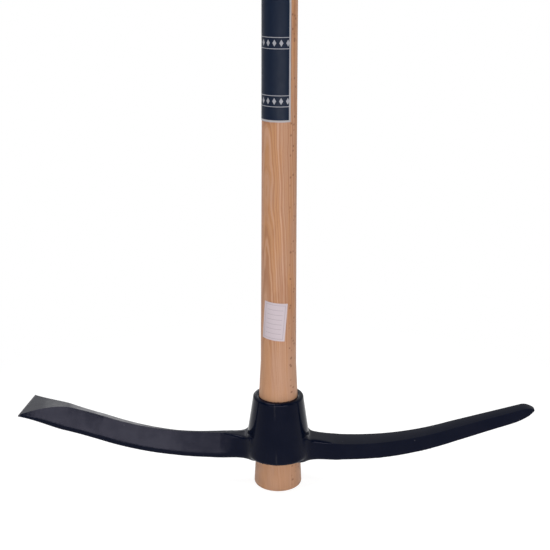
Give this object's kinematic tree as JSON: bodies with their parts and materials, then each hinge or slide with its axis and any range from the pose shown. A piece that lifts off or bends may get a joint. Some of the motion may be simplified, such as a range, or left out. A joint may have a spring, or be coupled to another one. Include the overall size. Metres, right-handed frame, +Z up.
{
  "type": "pick axe",
  "caption": "Long-handled pick: a forged head with a chisel arm and a point arm, its tapered round eye slipped over a flared wooden handle that carries a wrapped label and a paper label.",
  "frame": {"origin": "centre of the handle's butt face, on which the tool stands", "axes": "+Z up the handle to the grip end, +X along the point arm, -Y towards the front"},
  "size_m": [0.5358, 0.0704, 0.9],
  "materials": {
    "handle_wood": "sanded and waxed pale hardwood",
    "head_paint": "semi-gloss blue-black paint on forged steel",
    "label_film": "satin printed film",
    "label_paper": "matte printed paper"
  },
  "bodies": {
    "handle": {"handle": "handle_wood", "wrap_label": "label_film", "stock_label": "label_paper"},
    "head": {"pick_head": "head_paint"}
  },
  "joints": [
    {"name": "head_slide", "type": "slide", "parent": "handle", "child": "head", "axis": [0, 0, 1], "range_m": [0, 0.88]}
  ]
}
